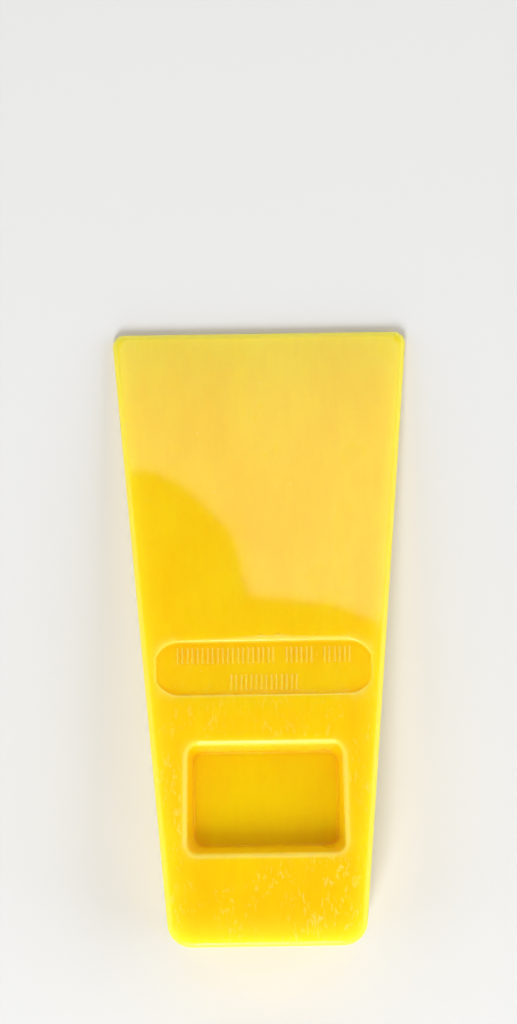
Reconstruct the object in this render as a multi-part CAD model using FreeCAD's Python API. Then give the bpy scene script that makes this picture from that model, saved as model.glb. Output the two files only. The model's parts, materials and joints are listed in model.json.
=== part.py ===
import FreeCAD, Part
import math
import os

# Felling wedge: one solid plastic moulding, driven into a saw cut to lift and tip a tree.
# It tapers in thickness from the head that is struck to a blunt thin edge. In plan it tapers
# the other way, so the thin edge is its widest part.
#
# It is drawn about its mid plane, where the two halves of its mould meet: X across,
# +Y towards the thin edge, Z through the thickness, millimetres. laid_on_lower_face then
# puts it in the part's frame, lying on its lower face, with +Z up and the origin in the
# middle of its footprint.

# Driving sizes
LENGTH = 125.0
TIP_WIDTH = 60.5
HEAD_WIDTH = 40.0
TIP_THICKNESS = 2.4
HEAD_THICKNESS = 22.0

# Outer edges and corners
SIDE_DRAFT = 1.5            # degrees, each side wall leans in from the parting plane
TIP_CORNER_RADIUS = 2.4     # corners as seen from above
HEAD_CORNER_RADIUS = 5.0
EDGE_RADIUS = 1.1           # all round both broad faces

# Coring pocket, one in each broad face, with a web of plastic left between the two
POCKET_WIDTH = 31.9
POCKET_LENGTH = 22.1
POCKET_FROM_HEAD = 18.85    # along the broad face, head to the pocket's nearer rim
POCKET_WEB = 5.0
POCKET_DRAFT = 12.0         # degrees, on the sides and the wall nearer the head
POCKET_TIP_DRAFT = 16.0     # degrees, on the wall nearer the thin edge
POCKET_CORNER_RADIUS = 2.2
POCKET_RIM_RADIUS = 1.2
POCKET_FLOOR_RADIUS = 0.5

# Shallow panel, one recessed into each broad face
PANEL_WIDTH = 43.9
PANEL_LENGTH = 11.1
PANEL_FROM_HEAD = 50.7      # along the broad face, head to the panel's nearer edge
PANEL_DEPTH = 0.7
PANEL_DRAFT = 25.0          # degrees
PANEL_END_RADIUS = 5.3      # its ends are nearly half round, with the round cut off straight
PANEL_END_CUT = 0.4         # how much of the round is cut off
PANEL_CORNER_RADIUS = 1.2   # where the round meets the straight cut
PANEL_RIM_RADIUS = 0.35
PANEL_FLOOR_RADIUS = 0.2

# Fine raised ribs in pairs on the floor of the upper panel, two rows of them in groups
RIB_WIDTH = 0.38
RIB_LENGTH = 3.1
RIB_HEIGHT = 0.3
RIB_TOP_RADIUS = 0.1
RIB_SPACING = 0.95          # between the two ribs of a pair
PAIR_PITCH = 2.05
GROUP_GAP = 1.6             # extra space between two groups
RIB_ROWS = (
    {"pairs_in_groups": (10, 3, 3), "from_panel_centre": 2.6},
    {"pairs_in_groups": (7,), "from_panel_centre": -2.9},
)

HALF_TAPER = math.atan2(HEAD_THICKNESS - TIP_THICKNESS, 2 * LENGTH)
HEAD_Y = -LENGTH / 2
TIP_Y = LENGTH / 2
CUT_PAST = 2.0              # how far a cutting body runs past the face it cuts
SUNK = 0.2                  # how far a rib's foot is sunk into the panel, so the two fuse
ON_FACE = 1e-4              # distance within which a point counts as lying on a face


def vector(x, y, z):
    return FreeCAD.Vector(x, y, z)


def face_height(y):
    """Height of the upper broad face above the mid plane."""
    return HEAD_THICKNESS / 2 - (y - HEAD_Y) * math.tan(HALF_TAPER)


def on_broad_face(point):
    return abs(abs(point.z) - face_height(point.y)) < ON_FACE


def mirrored(shape):
    return shape.mirror(vector(0, 0, 0), vector(0, 0, 1))


def edges_where(shape, test):
    """The edges whose two ends and middle all pass a test on a point."""
    found = []
    for edge in shape.Edges:
        middle = edge.valueAt((edge.FirstParameter + edge.LastParameter) / 2)
        if all(test(point) for point in [middle] + [vertex.Point for vertex in edge.Vertexes]):
            found.append(edge)
    return found


def rectangle(width, length, z):
    """Four corners of a rectangle centred on the Z axis."""
    x, y = width / 2, length / 2
    return [vector(-x, -y, z), vector(x, -y, z), vector(x, y, z), vector(-x, y, z)]


def solid_between(lower, upper):
    """The flat-sided solid between two rings of four corners."""
    loops = [lower[::-1], upper]
    for here in range(4):
        after = (here + 1) % 4
        loops.append([lower[here], lower[after], upper[after], upper[here]])
    faces = [Part.Face(Part.makePolygon(loop + loop[:1])) for loop in loops]
    return Part.Solid(Part.Shell(faces))


def rising_edges(shape):
    return [edge for edge in shape.Edges
            if abs(edge.Vertexes[0].Z - edge.Vertexes[-1].Z) > ON_FACE]


def rounded_block(lower, upper, corner_radius):
    """A flat-sided block whose four rising edges are rounded."""
    block = solid_between(lower, upper)
    return block.makeFillet(corner_radius, rising_edges(block))


def tilted(shape, pivot):
    """Turn a shape by half the taper about an X axis through a point, nose down."""
    moved = shape.copy()
    moved.rotate(pivot, vector(1, 0, 0), -math.degrees(HALF_TAPER))
    return moved


def placed_on_upper_face(shape, from_head):
    """Move a shape drawn on Z = 0 onto the upper broad face, its origin on the centre line."""
    head_edge = vector(0, HEAD_Y, HEAD_THICKNESS / 2)
    moved = shape.copy()
    moved.translate(head_edge + vector(0, from_head, 0))
    return tilted(moved, head_edge)


def half_blank():
    """The part of the blank above the parting plane, with its corners rounded in plan."""
    lean = math.tan(math.radians(SIDE_DRAFT))

    def ring(tip_z, head_z):
        tip_x = TIP_WIDTH / 2 - lean * tip_z
        head_x = HEAD_WIDTH / 2 - lean * head_z
        return [vector(-head_x, HEAD_Y, head_z), vector(head_x, HEAD_Y, head_z),
                vector(tip_x, TIP_Y, tip_z), vector(-tip_x, TIP_Y, tip_z)]

    half = solid_between(ring(0, 0), ring(TIP_THICKNESS / 2, HEAD_THICKNESS / 2))
    for end_y, radius in ((TIP_Y, TIP_CORNER_RADIUS), (HEAD_Y, HEAD_CORNER_RADIUS)):
        rising = [edge for edge in rising_edges(half) if abs(edge.CenterOfMass.y - end_y) < radius]
        half = half.makeFillet(radius, rising)
    return half


def blank():
    """The wedge before its recesses, with every edge of its broad faces rounded."""
    half = half_blank()
    whole = half.fuse(mirrored(half)).removeSplitter().Solids[0]
    return whole.makeFillet(EDGE_RADIUS, edges_where(whole, on_broad_face))


def floor_rounded(core, radius):
    floor_z = min(vertex.Z for vertex in core.Vertexes)
    return core.makeFillet(radius, edges_where(core, lambda p: abs(p.z - floor_z) < ON_FACE))


def pocket_core():
    """What leaves the upper pocket: its floor is parallel to the mid plane."""
    middle_y = HEAD_Y + (POCKET_FROM_HEAD + POCKET_LENGTH / 2) * math.cos(HALF_TAPER)
    rim_z = face_height(middle_y)
    slope = math.tan(math.radians(POCKET_DRAFT))
    tip_slope = math.tan(math.radians(POCKET_TIP_DRAFT))

    def ring(z):
        x = POCKET_WIDTH / 2 + slope * (z - rim_z)
        head_y = middle_y - POCKET_LENGTH / 2 - slope * (z - rim_z)
        tip_y = middle_y + POCKET_LENGTH / 2 + tip_slope * (z - rim_z)
        return [vector(-x, head_y, z), vector(x, head_y, z), vector(x, tip_y, z), vector(-x, tip_y, z)]

    core = rounded_block(ring(POCKET_WEB / 2), ring(rim_z + CUT_PAST), POCKET_CORNER_RADIUS)
    return floor_rounded(core, POCKET_FLOOR_RADIUS)


def arc(centre, radius, start, end):
    """An arc about a centre, between two directions in radians."""
    places = [centre + vector(radius * math.cos(angle), radius * math.sin(angle), 0)
              for angle in (start, (start + end) / 2, end)]
    return Part.Arc(*places).toShape()


def panel_outline(inset, z):
    """The panel's outline, drawn in by an inset: each corner is a large arc, then a small one."""
    round_x = PANEL_WIDTH / 2 + PANEL_END_CUT - PANEL_END_RADIUS
    round_y = PANEL_LENGTH / 2 - PANEL_END_RADIUS
    corner_x = PANEL_WIDTH / 2 - PANEL_CORNER_RADIUS
    meeting = math.acos((corner_x - round_x) / (PANEL_END_RADIUS - PANEL_CORNER_RADIUS))
    corner_y = round_y + (PANEL_END_RADIUS - PANEL_CORNER_RADIUS) * math.sin(meeting)
    large = arc(vector(round_x, round_y, z), PANEL_END_RADIUS - inset, math.pi / 2, meeting)
    small = arc(vector(corner_x, corner_y, z), PANEL_CORNER_RADIUS - inset, meeting, 0)
    half_width = PANEL_WIDTH / 2 - inset
    half_length = PANEL_LENGTH / 2 - inset
    end = Part.makeLine(vector(half_width, corner_y, z), vector(half_width, -corner_y, z))
    side = Part.makeLine(vector(-round_x, half_length, z), vector(round_x, half_length, z))
    origin = vector(0, 0, 0)
    right = [large, small, end] + [edge.mirror(origin, vector(0, 1, 0)) for edge in (large, small)]
    left = [edge.mirror(origin, vector(1, 0, 0)) for edge in right]
    edges = right + left + [side, side.mirror(origin, vector(0, 1, 0))]
    return Part.Wire(Part.sortEdges(edges)[0])


def panel_core():
    """What leaves the upper panel: its floor follows the broad face."""
    slope = math.tan(math.radians(PANEL_DRAFT))
    rings = [panel_outline(-slope * height, height) for height in (-PANEL_DEPTH, CUT_PAST)]
    core = floor_rounded(Part.makeLoft(rings, True, True), PANEL_FLOOR_RADIUS)
    return placed_on_upper_face(core, PANEL_FROM_HEAD + PANEL_LENGTH / 2)


def rim_edges(shape, core):
    """Edges of a recess that lie on a broad face."""
    box = core.BoundBox
    return edges_where(shape, lambda p: on_broad_face(p) and box.isInside(p))


def with_recess(shape, core, rim_radius):
    """Cut a recess into both broad faces and round its rims."""
    for side in (core, mirrored(core)):
        shape = shape.cut(side)
        shape = shape.makeFillet(rim_radius, rim_edges(shape, side))
    return shape


def rib():
    """One rib, standing on a foot sunk into the panel's floor."""
    foot_z = -PANEL_DEPTH - SUNK
    top_z = -PANEL_DEPTH + RIB_HEIGHT
    block = solid_between(rectangle(RIB_WIDTH, RIB_LENGTH, foot_z),
                          rectangle(RIB_WIDTH, RIB_LENGTH, top_z))
    top_edges = edges_where(block, lambda p: abs(p.z - top_z) < ON_FACE)
    return block.makeFillet(RIB_TOP_RADIUS, top_edges)


def pair_centres(groups):
    """Where each pair of ribs in a row stands across the wedge, the row being centred."""
    places = []
    x = 0
    for count in groups:
        places += [x + PAIR_PITCH * index for index in range(count)]
        x = places[-1] + PAIR_PITCH + GROUP_GAP
    return [place - places[-1] / 2 for place in places]


def ribs():
    """All the ribs of the upper panel."""
    made = []
    for row in RIB_ROWS:
        from_head = PANEL_FROM_HEAD + PANEL_LENGTH / 2 + row["from_panel_centre"]
        for centre in pair_centres(row["pairs_in_groups"]):
            for side in (-1, 1):
                moved = rib()
                moved.translate(vector(centre + side * RIB_SPACING / 2, 0, 0))
                made.append(placed_on_upper_face(moved, from_head))
    return made


def laid_on_lower_face(shape):
    """Turn the shape onto its lower broad face, with the origin under its middle."""
    lower_edge = vector(0, HEAD_Y, -HEAD_THICKNESS / 2)
    laid = tilted(shape, lower_edge)
    laid.translate(vector(0, 0, -lower_edge.z))
    laid.translate(vector(0, -laid.optimalBoundingBox(False, False).Center.y, 0))
    return laid


def wedge_body():
    body = blank()
    body = with_recess(body, pocket_core(), POCKET_RIM_RADIUS)
    body = with_recess(body, panel_core(), PANEL_RIM_RADIUS)
    body = body.fuse(ribs()).removeSplitter()
    return laid_on_lower_face(body.Solids[0])


os.makedirs("parts", exist_ok=True)
wedge_body().exportStep("parts/wedge_body.step")
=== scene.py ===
"""The felling wedge's finished look: its moulded skin, its plastic, the studio and the camera."""
import json
import math
from collections import defaultdict

import bmesh
import bpy
import numpy
from mathutils import Euler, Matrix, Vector, noise
from mathutils.geometry import delaunay_2d_cdt


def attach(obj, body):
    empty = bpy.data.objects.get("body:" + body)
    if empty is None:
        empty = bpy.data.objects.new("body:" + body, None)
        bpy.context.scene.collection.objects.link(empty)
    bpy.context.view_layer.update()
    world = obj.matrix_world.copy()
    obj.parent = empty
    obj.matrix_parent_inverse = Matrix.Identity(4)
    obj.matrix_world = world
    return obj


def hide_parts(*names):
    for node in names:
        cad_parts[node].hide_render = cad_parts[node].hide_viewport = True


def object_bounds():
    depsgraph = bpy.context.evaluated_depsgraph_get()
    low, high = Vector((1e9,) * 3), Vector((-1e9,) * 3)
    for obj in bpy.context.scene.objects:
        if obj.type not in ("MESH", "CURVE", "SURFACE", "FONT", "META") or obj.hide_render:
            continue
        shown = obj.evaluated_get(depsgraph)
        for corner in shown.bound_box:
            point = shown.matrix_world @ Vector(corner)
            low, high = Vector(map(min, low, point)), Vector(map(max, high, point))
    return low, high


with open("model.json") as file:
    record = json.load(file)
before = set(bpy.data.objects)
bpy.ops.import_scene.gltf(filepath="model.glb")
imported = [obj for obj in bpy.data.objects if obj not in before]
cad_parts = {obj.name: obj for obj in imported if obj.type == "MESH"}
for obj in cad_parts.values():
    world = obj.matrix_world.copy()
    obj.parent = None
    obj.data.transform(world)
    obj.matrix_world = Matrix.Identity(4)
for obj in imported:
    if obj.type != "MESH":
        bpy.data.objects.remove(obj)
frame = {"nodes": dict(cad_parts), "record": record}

MM = 0.001

cad_low, cad_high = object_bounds()
middle = (cad_low + cad_high) / 2
mounts = {mount["name"]: mount for mount in frame["record"]["mounts"]}

# Camera: straight above the wedge, looking down, with the thin edge at the top of the frame.
CAMERA_HEIGHT = 0.7335
CAMERA_LENS_MM = 125.0
CAMERA_OFFSET = Vector((-0.6 * MM, 26.0 * MM, 0))
CAMERA_ROLL = math.radians(0.85)
eye_place = Vector((middle.x, middle.y, CAMERA_HEIGHT)) + CAMERA_OFFSET

# The soft reflection on the thin half of the upper face, and its edge towards the head: x, y in mm
SHEEN_HEIGHT = 1.0
SHEEN_RADIANCE = 4.0
SHEEN_FAR = 80 * MM
SHEEN_EDGE = ((-36, 36), (-23, 35.8), (-18, 33.6), (-15.5, 32), (-11, 27.6), (-8.5, 24.6), (-6, 21.9),
              (-4.9, 19.5), (-4, 15.4), (-2.8, 9.8), (-1.5, 8.3), (5, 8.1), (12, 6.7), (19.5, 3.8),
              (27, 0.8), (34, -2))
SHEEN_STEP = 1.5              # the most that the edge drops from one box to the next, mm

# The stage: a round floor that curves up into a low wall, by radius and height in metres, and
# the soft boxes, each with its place, width and depth in metres, and its watts.
SWEEP = ((1.5, 0.0), (1.7, 0.03), (1.9, 0.13), (2.05, 0.3), (2.1, 0.45), (2.12, 0.6))
SWEEP_STEPS = 96
FLOOR_GAP = 0.02 * MM         # between the floor and the wedge
FLOOR_COLOUR = (0.74, 0.74, 0.735, 1)
BACKDROP_GLOW = 0.45
BACKDROP_GLOW_RADII = (0.6, 1.7)  # metres, between which the glow comes on
WORLD_STRENGTH = 0.03
SOFT_BOXES = (
    ("key", (-0.15, -0.82, 1.0), 0.4, 0.65, 11.7),
    ("head_box", (0.0, -1.2, 0.45), 1.4, 0.5, 4.1),
    ("right_box", (0.95, 0.0, 0.65), 1.2, 0.9, 6.6),
    ("left_box", (-0.95, 0.0, 0.65), 1.2, 0.9, 4.1),
    ("tip_box", (0.0, 1.1, 0.7), 1.8, 0.9, 5.0),
)

# The plastic
YELLOW = (0.93, 0.635, 0.002, 1)
DEEP_YELLOW = (0.88, 0.50, 0.001, 1)
PALE_YELLOW = (0.98, 0.80, 0.29, 1)  # scuffs, pale rib tops, and the painted highlight on rounded edges
LEMON_PAINTED_GLOW = (0.99, 0.82, 0.03, 1)        # painted light near the outline, standing for light that shows through the thin plastic
SCUFFED = (10 * MM, -50 * MM)        # from where to where along the wedge the scuffs come on
SCUFF_SHARE = 0.38
DOT_SHARE = 0.5
RIB_AND_EDGE_HIGHLIGHT_SHARE = 0.85
BUMP_HEIGHT = 0.007 * MM
COAT_WEIGHTS = (0.5, 0.1)            # on open surfaces, and in hollows
LIGHT_DEPTH = 6.5 * MM               # how far light spreads in the plastic

# The skin: the CAD body's surface with its flat faces tiled finely enough to carry relief.
WELD = 0.001 * MM
FLAT_AREA = 40 * MM * MM      # a flat face larger than this is tiled again
TILE = 1.0 * MM
TILE_MARGIN = 0.45            # of a tile, kept free along a face's rim
SHARP_ANGLE = math.radians(38)
SINK_SHARE = 0.006            # sink marks: how far a face sinks, as a share of the thickness there
HEAD_SINK = 0.12 * MM
HEAD_SINK_REACH = 7 * MM
WAVE_HEIGHT = 0.02 * MM
WAVE_LENGTH = 16 * MM
END_FADE = 0.06               # of the length, over which the sinking comes on at each end
SEAM_HALF_WIDTH = 0.15 * MM   # the fine line that the mould's parting leaves round the wedge
SEAM_HEIGHT = 0.05 * MM
FINE_EDGE = 4500.0            # curvature per metre, above which an edge (the ribs' tops) is painted fully pale
ROUND_EDGE = (250.0, 1600.0)  # curvatures between which a rounded edge gets a paler painted highlight
RIM_HIGHLIGHT_SHARE = 0.38              # how much paler the painted highlight makes it
OUTER_HIGHLIGHT_SHARE = 0.22            # the painted highlight's share along the sides and the head, where the painted light through the plastic is over OUTER_GLOW
OUTER_GLOW = 0.12
EDGE_AMOUNT_SPREAD = 2               # how many times the pale-edge and hollow amounts are averaged with what is next to them
SIDE_GLOW = 7.0 * MM          # how far in from the outline the painted light through the plastic makes it lighter
HEAD_GLOW = 9 * MM            # the same from the head
SIDE_GLOW_SHARES = (0.82, 0.15)  # of the full amount, at the head and at the thin edge
WALL_GLOW = 6 * MM            # how far down the walls it reaches
SHELTER_DEPTH = 1.5 * MM      # how deep in a pocket nothing scuffs the plastic
SHELTER_MARGIN = 3 * MM       # of a pocket, to the wedge's sides and head


# Faces of the wedge, as the record's mounts give them

def plane_of(mount):
    """A mount's outward direction, and how far along it the face lies."""
    axis = Vector(mount["axis"])
    return axis, axis.dot(Vector(mount["pos_m"]))


upper_axis, upper_level = plane_of(mounts["upper_face"])
lower_axis, lower_level = plane_of(mounts["lower_face"])
head_axis, head_level = plane_of(mounts["striking_face"])
parting_axis = (upper_axis - lower_axis).normalized()
parting_level = (upper_level - lower_level) / (upper_axis - lower_axis).length


def above_parting(point):
    """How high a point lies over the plane where the mould's halves meet."""
    return parting_axis.dot(point) - parting_level


def below_face(point):
    """How far a point lies under the broad face on its own side of the parting."""
    if above_parting(point) > 0:
        return upper_level - upper_axis.dot(point)
    return lower_level - lower_axis.dot(point)


# Skin

def flat_faces(bm):
    """The body's flat faces, each as the list of triangles that make it up."""
    groups = defaultdict(list)
    for face in bm.faces:
        level = round(face.normal.dot(face.verts[0].co) / (10 * WELD))
        groups[tuple(round(part, 3) for part in face.normal) + (level,)].append(face)
    return [faces for faces in groups.values() if sum(face.calc_area() for face in faces) > FLAT_AREA]


def inside_rim(points, starts, ends):
    """Even-odd test of many points at once against a rim's straight pieces."""
    x, y = points[:, :1], points[:, 1:]
    crossing = (starts[:, 1] > y) != (ends[:, 1] > y)
    rise = numpy.where(crossing, ends[:, 1] - starts[:, 1], 1)
    cut_x = (ends[:, 0] - starts[:, 0]) * (y - starts[:, 1]) / rise + starts[:, 0]
    return (crossing & (x < cut_x)).sum(axis=1) % 2 == 1


def rim_distance(points, starts, ends):
    """How far each point is from the nearest of a rim's straight pieces."""
    run = ends - starts
    from_start = points[:, None, :] - starts
    share = numpy.clip((from_start * run).sum(axis=2) / (run ** 2).sum(axis=1), 0, 1)
    gap = from_start - share[..., None] * run
    return numpy.sqrt((gap ** 2).sum(axis=2)).min(axis=1)


def tile_points(starts, ends):
    """A triangular grid of points inside a rim."""
    low, high = starts.min(axis=0), starts.max(axis=0)
    row_step = TILE * math.sqrt(0.75)
    grid = [(low[0] + (column + row % 2 / 2) * TILE, low[1] + row * row_step)
            for row in range(1, math.ceil((high[1] - low[1]) / row_step))
            for column in range(math.ceil((high[0] - low[0]) / TILE) + 1)]
    points = numpy.array(grid).reshape(-1, 2)
    points = points[inside_rim(points, starts, ends)]
    return points[rim_distance(points, starts, ends) > TILE_MARGIN * TILE]


def tile_again(bm, faces):
    """Replace a flat face's triangles with even ones, keeping its rim."""
    normal = sum((face.normal * face.calc_area() for face in faces), Vector()).normalized()
    right = normal.orthogonal().normalized()
    ahead = normal.cross(right)
    own = set(faces)
    rim = [edge for face in faces for edge in face.edges
           if sum(other in own for other in edge.link_faces) == 1]
    rim_verts = list(dict.fromkeys(vert for edge in rim for vert in edge.verts))
    number = {vert: place for place, vert in enumerate(rim_verts)}
    flat = numpy.array([(vert.co.dot(right), vert.co.dot(ahead)) for vert in rim_verts])
    pairs = [tuple(number[vert] for vert in edge.verts) for edge in rim]
    starts, ends = (flat[[pair[side] for pair in pairs]] for side in (0, 1))
    inner = tile_points(starts, ends)
    result = delaunay_2d_cdt([Vector(p) for p in numpy.vstack((flat, inner))], pairs, [], 0, 0.1 * WELD)
    places, triangles, origins = result[0], result[2], result[3]
    level = rim_verts[0].co.dot(normal)
    verts = []
    for place, origin in zip(places, origins):
        old = [source for source in origin if source < len(rim_verts)]
        verts.append(rim_verts[old[0]] if old else
                     bm.verts.new(right * place.x + ahead * place.y + normal * level))
    centres = numpy.array([sum((places[corner] for corner in corners), Vector((0, 0))) / 3
                           for corners in triangles])
    kept = inside_rim(centres, starts, ends)
    bmesh.ops.delete(bm, geom=faces, context="FACES_ONLY")
    for corners, keep in zip(triangles, kept):
        a, b, c = (places[corner] for corner in corners)
        turn = (b - a).cross(c - a)
        if keep and abs(turn) > WELD * WELD:
            order = corners if turn > 0 else corners[::-1]
            bm.faces.new([verts[corner] for corner in order])


def add_seam(bm):
    """Cut three loops round the wedge at the parting, and raise the middle one."""
    for offset in (-SEAM_HALF_WIDTH, 0, SEAM_HALF_WIDTH):
        everything = bm.verts[:] + bm.edges[:] + bm.faces[:]
        point = parting_axis * (parting_level + offset)
        bmesh.ops.bisect_plane(bm, geom=everything, dist=WELD, plane_co=point, plane_no=parting_axis)
    bmesh.ops.triangulate(bm, faces=[face for face in bm.faces if len(face.verts) > 3])
    bm.normal_update()
    for vert in bm.verts:
        if abs(above_parting(vert.co)) < 2 * WELD:
            out = vert.normal - parting_axis * vert.normal.dot(parting_axis)
            vert.co += out.normalized() * SEAM_HEIGHT


def share_along(point):
    """Where a point lies along the wedge: 0 at the head, 1 at the thin edge."""
    return (point.y - cad_low.y) / (cad_high.y - cad_low.y)


def half_width_along(bm):
    """Half the wedge's width at a share of its length, as a function."""
    low, high, near = 0.1, 0.9, 0.02
    widths = [max(vert.co.x for vert in bm.verts if abs(share_along(vert.co) - share) < near)
              for share in (low, high)]
    growth = (widths[1] - widths[0]) / (high - low)
    return lambda share: widths[0] + growth * (share - low)


def add_relief(bm, half_width):
    """Let the faces sink a little where the plastic is thick, and wave a little everywhere."""
    head_thickness = 2 * above_parting(Vector((0, cad_low.y, cad_high.z)))
    for vert in bm.verts:
        along = share_along(vert.co)
        across = vert.co.x / half_width(along)
        height = above_parting(vert.co)
        half_thickness = abs(height) + max(below_face(vert.co), 0)
        edge_fade = max(0.0, 1 - across * across)
        end_fade = min(1.0, min(along, 1 - along) / END_FADE)
        wave = 0.5 + 0.5 * noise.noise(vert.co / WAVE_LENGTH)
        depth = 2 * half_thickness * SINK_SHARE * edge_fade + WAVE_HEIGHT * wave
        depth *= end_fade * min(1.0, abs(height) / half_thickness)
        to_head = head_level - head_axis.dot(vert.co)
        head_fade = max(0.0, 1 - to_head / HEAD_SINK_REACH) ** 2
        dish = max(0.0, 1 - (2 * height / head_thickness) ** 2) * edge_fade
        vert.co -= parting_axis * math.copysign(depth, height)
        vert.co -= head_axis * HEAD_SINK * head_fade * dish


def curvature(vert):
    """How sharply the surface turns at a vertex, per metre: outward edges are positive."""
    turns = []
    for edge in vert.link_edges:
        step = vert.co - edge.other_vert(vert).co
        turns.append(2 * step.dot(vert.normal) / max(step.length_squared, WELD * WELD))
    return sum(turns) / len(turns)


def spread_over(bm, amount):
    """Average each vertex's amount with its neighbours'."""
    for _ in range(EDGE_AMOUNT_SPREAD):
        smoothed = []
        for vert in bm.verts:
            near = [amount[edge.other_vert(vert).index] for edge in vert.link_edges]
            smoothed.append((amount[vert.index] + sum(near) / len(near)) / 2)
        amount = smoothed
    return amount


def sheltered(bm, half_width):
    """How well each vertex is kept from scuffs by lying in a pocket: 0 to 1."""
    amounts = []
    for vert in bm.verts:
        to_side = half_width(share_along(vert.co)) - abs(vert.co.x)
        to_head = head_level - head_axis.dot(vert.co)
        inside = min(to_side, to_head) > SHELTER_MARGIN
        amounts.append(inside * min(max(below_face(vert.co), 0) / SHELTER_DEPTH, 1.0))
    return amounts


def painted_glow(bm, half_width):
    """How strongly each vertex is painted lighter near the sides or the head, standing for light that
    shows through: 0 to 1.
    """
    amounts = []
    for vert in bm.verts:
        along = share_along(vert.co)
        to_side = half_width(along) - abs(vert.co.x)
        to_head = head_level - head_axis.dot(vert.co)
        parts = (1 - to_side / SIDE_GLOW, 1 - to_head / HEAD_GLOW)
        side, head = (min(max(part, 0.0), 1.0) ** 2 for part in parts)
        side *= SIDE_GLOW_SHARES[0] + (SIDE_GLOW_SHARES[1] - SIDE_GLOW_SHARES[0]) * along
        down = max(1 - max(below_face(vert.co), 0) / WALL_GLOW, 0.0)
        amounts.append(down * (1 - (1 - side) * (1 - head)))
    return amounts


def surface_amounts(bm, half_width):
    """What the plastic needs to know at each vertex, each amount from 0 to 1."""
    turns = [curvature(vert) for vert in bm.verts]
    lit = painted_glow(bm, half_width)
    # Rounded edges get a painted highlight, less of it where the painted light through the plastic is
    # strong; the ribs' tops are painted fully pale.
    highlight_shares = [OUTER_HIGHLIGHT_SHARE if light > OUTER_GLOW else RIM_HIGHLIGHT_SHARE for light in lit]
    ribs_and_edge_highlight = [1.0 if turn > FINE_EDGE else rim * (ROUND_EDGE[0] < turn < ROUND_EDGE[1])
            for turn, rim in zip(turns, highlight_shares)]
    hollow = [float(turn < -ROUND_EDGE[0]) for turn in turns]
    return {"pale_ribs_and_edge_highlight": spread_over(bm, ribs_and_edge_highlight), "hollow": spread_over(bm, hollow), "painted_glow": lit,
            "sheltered": sheltered(bm, half_width)}


def moulded_skin(material):
    """The wedge's visible surface, which stands for the CAD body."""
    bm = bmesh.new()
    bm.from_mesh(frame["nodes"]["wedge_body"].data)
    bmesh.ops.remove_doubles(bm, verts=bm.verts, dist=WELD)
    for faces in flat_faces(bm):
        tile_again(bm, faces)
    bmesh.ops.delete(bm, geom=[edge for edge in bm.edges if edge.is_wire], context="EDGES")
    add_seam(bm)
    half_width = half_width_along(bm)
    add_relief(bm, half_width)
    bm.normal_update()
    bm.verts.index_update()
    amounts = surface_amounts(bm, half_width)
    for face in bm.faces:
        face.smooth = True
        face.material_index = 0
    for edge in bm.edges:
        edge.smooth = edge.calc_face_angle() < SHARP_ANGLE
    mesh = bpy.data.meshes.new("wedge_skin")
    bm.to_mesh(mesh)
    bm.free()
    if "custom_normal" in mesh.attributes:
        mesh.attributes.remove(mesh.attributes["custom_normal"])
    for name, values in amounts.items():
        mesh.attributes.new(name, "FLOAT", "POINT").data.foreach_set("value", values)
    mesh.materials.append(material)
    skin = bpy.data.objects.new("wedge_skin", mesh)
    bpy.context.scene.collection.objects.link(skin)
    evened = skin.modifiers.new("even_normals", "WEIGHTED_NORMAL")
    evened.keep_sharp = True
    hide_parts("wedge_body")
    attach(skin, "root")


# Materials

def principled(name):
    """A new material, with its node tree and its Principled node."""
    material = bpy.data.materials.new(name)
    material.use_nodes = True
    tree = material.node_tree
    return material, tree, tree.nodes["Principled BSDF"]


def feed(tree, socket, value):
    """Give a socket a value, or a link from another node."""
    if isinstance(value, bpy.types.NodeSocket):
        tree.links.new(value, socket)
    else:
        socket.default_value = value


def noise_texture(tree, place, size, stretch=1.0, detail=3.0, roughness=0.5, distortion=0.0):
    """Noise with features of a size in metres, drawn out along the wedge by a factor."""
    mapping = tree.nodes.new("ShaderNodeMapping")
    feed(tree, mapping.inputs["Vector"], place)
    mapping.inputs["Scale"].default_value = (1 / size, 1 / (size * stretch), 1 / size)
    texture = tree.nodes.new("ShaderNodeTexNoise")
    feed(tree, texture.inputs["Vector"], mapping.outputs["Vector"])
    texture.inputs["Scale"].default_value = 1.0
    texture.inputs["Detail"].default_value = detail
    texture.inputs["Roughness"].default_value = roughness
    texture.inputs["Distortion"].default_value = distortion
    return texture.outputs["Fac"]


def spread(tree, value, low, high, to_low=0.0, to_high=1.0):
    """Map a value from one range to another, smoothly and clamped."""
    mapper = tree.nodes.new("ShaderNodeMapRange")
    mapper.interpolation_type = "SMOOTHSTEP"
    feed(tree, mapper.inputs["Value"], value)
    for name, number in (("From Min", low), ("From Max", high), ("To Min", to_low), ("To Max", to_high)):
        mapper.inputs[name].default_value = number
    return mapper.outputs["Result"]


def calculate(tree, operation, first, second):
    """A Math node's result."""
    sums = tree.nodes.new("ShaderNodeMath")
    sums.operation = operation
    feed(tree, sums.inputs[0], first)
    feed(tree, sums.inputs[1], second)
    return sums.outputs["Value"]


def blend_colours(tree, share, first, second):
    """The first colour turning into the second as the share goes from 0 to 1."""
    mixer = tree.nodes.new("ShaderNodeMix")
    mixer.data_type = "RGBA"
    feed(tree, mixer.inputs["Factor"], share)
    colours = [socket for socket in mixer.inputs if socket.type == "RGBA"]
    feed(tree, colours[0], first)
    feed(tree, colours[1], second)
    return next(socket for socket in mixer.outputs if socket.type == "RGBA")


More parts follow.
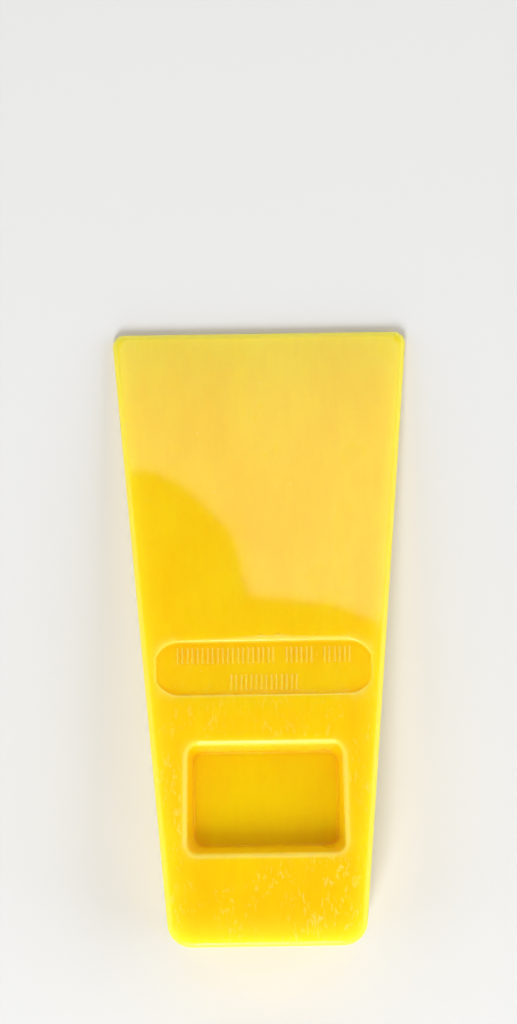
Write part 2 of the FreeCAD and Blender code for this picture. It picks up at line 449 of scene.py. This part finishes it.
def specks(tree, place, cell, radius, chance):
    """Small round dots, one in some of the cells of a size in metres."""
    mapping = tree.nodes.new("ShaderNodeMapping")
    feed(tree, mapping.inputs["Vector"], place)
    mapping.inputs["Scale"].default_value = (1 / cell, 1 / cell, 1 / cell)
    cells = tree.nodes.new("ShaderNodeTexVoronoi")
    feed(tree, cells.inputs["Vector"], mapping.outputs["Vector"])
    cells.inputs["Scale"].default_value = 1.0
    parts = tree.nodes.new("ShaderNodeSeparateColor")
    feed(tree, parts.inputs["Color"], cells.outputs["Color"])
    dot = spread(tree, cells.outputs["Distance"], radius / cell, 0.4 * radius / cell)
    chosen = calculate(tree, "LESS_THAN", parts.outputs["Red"], chance)
    return calculate(tree, "MULTIPLY", dot, chosen)


def attribute(tree, name):
    """One of the amounts that surface_amounts gives each vertex."""
    node = tree.nodes.new("ShaderNodeAttribute")
    node.attribute_name = name
    return node.outputs["Fac"]


def yellow_plastic():
    """Moulded plastic: cloudy, streaked along the flow, scuffed, with painted lemon light at the
    outline, pale rib tops and a painted highlight on the rounded edges.
    """
    material, tree, shader = principled("yellow_plastic")
    place = tree.nodes.new("ShaderNodeTexCoord").outputs["Object"]
    clouds = noise_texture(tree, place, 11 * MM, stretch=1.6, detail=4)
    flow = noise_texture(tree, place, 1.6 * MM, stretch=6, detail=3)
    wisps = noise_texture(tree, place, 0.9 * MM, stretch=2.5, detail=2, roughness=0.6, distortion=0.7)
    patches = noise_texture(tree, place, 8 * MM, detail=2)
    dots = specks(tree, place, 2.6 * MM, 0.16 * MM, 0.35)

    depth = spread(tree, clouds, 0.3, 0.7, 0.0, 0.30)
    depth = calculate(tree, "ADD", depth, spread(tree, flow, 0.35, 0.65, 0.0, 0.12))
    colour = blend_colours(tree, depth, YELLOW, DEEP_YELLOW)
    # Painted light: lemon towards the outline, standing for light that shows through the thin plastic.
    colour = blend_colours(tree, attribute(tree, "painted_glow"), colour, LEMON_PAINTED_GLOW)
    lines = spread(tree, wisps, 0.52, 0.72)
    lines = calculate(tree, "MULTIPLY", lines, spread(tree, patches, 0.36, 0.58))
    axes = tree.nodes.new("ShaderNodeSeparateXYZ")
    feed(tree, axes.inputs["Vector"], place)
    handled = calculate(tree, "MULTIPLY", spread(tree, axes.outputs["Y"], *SCUFFED, 0.0, SCUFF_SHARE),
                        spread(tree, attribute(tree, "sheltered"), 0.0, 1.0, 1.0, 0.0))
    marks = calculate(tree, "MAXIMUM", calculate(tree, "MULTIPLY", lines, handled),
                      calculate(tree, "MULTIPLY", dots, DOT_SHARE))
    # Pale rib tops, and the painted highlight on the rounded edges.
    ribs_and_edge_highlight = calculate(tree, "MULTIPLY", attribute(tree, "pale_ribs_and_edge_highlight"), RIB_AND_EDGE_HIGHLIGHT_SHARE)
    pale = calculate(tree, "MAXIMUM", marks, ribs_and_edge_highlight)
    feed(tree, shader.inputs["Base Color"], blend_colours(tree, pale, colour, PALE_YELLOW))

    feed(tree, shader.inputs["Roughness"], spread(tree, clouds, 0.3, 0.7, 0.26, 0.38))

    grain = noise_texture(tree, place, 0.35 * MM, detail=2)
    peel = noise_texture(tree, place, 2.2 * MM, detail=1)
    height = calculate(tree, "ADD", calculate(tree, "MULTIPLY", grain, 0.25), peel)
    bump = tree.nodes.new("ShaderNodeBump")
    bump.inputs["Distance"].default_value = BUMP_HEIGHT
    feed(tree, bump.inputs["Height"], height)
    feed(tree, shader.inputs["Normal"], bump.outputs["Normal"])

    shader.inputs["IOR"].default_value = 1.5
    shader.inputs["Specular IOR Level"].default_value = 0.08
    hollow = attribute(tree, "hollow")
    feed(tree, shader.inputs["Coat Weight"], spread(tree, hollow, 0.0, 0.5, *COAT_WEIGHTS))
    shader.inputs["Coat Roughness"].default_value = 0.03
    shader.inputs["Subsurface Weight"].default_value = 1.0
    shader.inputs["Subsurface Radius"].default_value = (1.0, 0.9, 0.1)
    shader.inputs["Subsurface Scale"].default_value = LIGHT_DEPTH
    return material


# Stage

def floor_material():
    """A pale matt floor, which glows faintly away from the wedge, so that the backdrop isn't dark."""
    material, tree, shader = principled("studio_floor")
    shader.inputs["Base Color"].default_value = FLOOR_COLOUR
    shader.inputs["Roughness"].default_value = 0.7
    radius = tree.nodes.new("ShaderNodeVectorMath")
    radius.operation = "LENGTH"
    feed(tree, radius.inputs[0], tree.nodes.new("ShaderNodeTexCoord").outputs["Object"])
    shader.inputs["Emission Color"].default_value = (1, 1, 1, 1)
    feed(tree, shader.inputs["Emission Strength"],
         spread(tree, radius.outputs["Value"], *BACKDROP_GLOW_RADII, 0.0, BACKDROP_GLOW))
    return material


def floor():
    """The round floor and its backdrop, as one surface."""
    verts = [(0, 0, 0)]
    for radius, height in SWEEP:
        for step in range(SWEEP_STEPS):
            angle = 2 * math.pi * step / SWEEP_STEPS
            verts.append((radius * math.cos(angle), radius * math.sin(angle), height))
    faces = []
    for step in range(SWEEP_STEPS):
        after = (step + 1) % SWEEP_STEPS
        faces.append((0, 1 + step, 1 + after))
        for ring in range(len(SWEEP) - 1):
            inner, outer = 1 + ring * SWEEP_STEPS, 1 + (ring + 1) * SWEEP_STEPS
            faces.append((inner + step, outer + step, outer + after, inner + after))
    mesh = bpy.data.meshes.new("floor")
    mesh.from_pydata(verts, [], faces)
    mesh.materials.append(floor_material())
    mesh.shade_smooth()
    sweep = bpy.data.objects.new("floor", mesh)
    sweep.location.z = cad_low.z - FLOOR_GAP
    bpy.context.scene.collection.objects.link(sweep)


def area_light(name, place, direction, width, depth, watts):
    """A soft box at a place, shining in a direction."""
    light = bpy.data.lights.new(name, "AREA")
    light.shape = "RECTANGLE"
    light.size = width
    light.size_y = depth
    light.energy = watts
    lamp = bpy.data.objects.new(name, light)
    lamp.location = place
    lamp.rotation_euler = Vector(direction).to_track_quat("-Z", "Y").to_euler()
    lamp.visible_camera = False
    bpy.context.scene.collection.objects.link(lamp)


def mirrored_spot(x, y):
    """The spot at the sheen boxes' height that the camera sees mirrored in the upper face."""
    seen = Vector((x, y, (upper_level - upper_axis.y * y) / upper_axis.z))
    behind = eye_place - 2 * (upper_axis.dot(eye_place) - upper_level) * upper_axis
    ray = seen - behind
    return seen + ray * (SHEEN_HEIGHT - seen.z) / ray.z


def sheen_boxes():
    """A row of boxes overhead, whose reflection veils the face from SHEEN_EDGE on."""
    for stretch, (start, end) in enumerate(zip(SHEEN_EDGE, SHEEN_EDGE[1:])):
        start, run = Vector(start) * MM, (Vector(end) - Vector(start)) * MM
        count = math.ceil(abs(run.y) / (SHEEN_STEP * MM))
        for step in range(count):
            low = mirrored_spot(start.x + run.x * step / count, start.y + run.y * (step + 0.5) / count)
            high = mirrored_spot(start.x + run.x * (step + 1) / count, SHEEN_FAR)
            width, depth = high.x - low.x, high.y - low.y
            watts = SHEEN_RADIANCE * math.pi * width * depth
            area_light(f"sheen_{stretch}_{step}", (low + high) / 2, (0, 0, -1), width, depth, watts)


def studio():
    """A dim world, the soft boxes aimed at the wedge, and the boxes of the sheen."""
    world = bpy.data.worlds.new("studio")
    world.use_nodes = True
    background = world.node_tree.nodes["Background"]
    background.inputs["Color"].default_value = (1, 1, 1, 1)
    background.inputs["Strength"].default_value = WORLD_STRENGTH
    bpy.context.scene.world = world
    bpy.context.scene.view_settings.view_transform = "Standard"
    for name, place, width, depth, watts in SOFT_BOXES:
        area_light(name, place, middle - Vector(place), width, depth, watts)
    sheen_boxes()


def camera():
    """The camera above the wedge, looking straight down."""
    data = bpy.data.cameras.new("camera")
    data.lens = CAMERA_LENS_MM
    data.clip_start = 0.01
    eye = bpy.data.objects.new("camera", data)
    eye.location = eye_place
    eye.rotation_euler = Euler((0, 0, -CAMERA_ROLL))
    bpy.context.scene.collection.objects.link(eye)
    bpy.context.scene.camera = eye


moulded_skin(yellow_plastic())
floor()
studio()
camera()
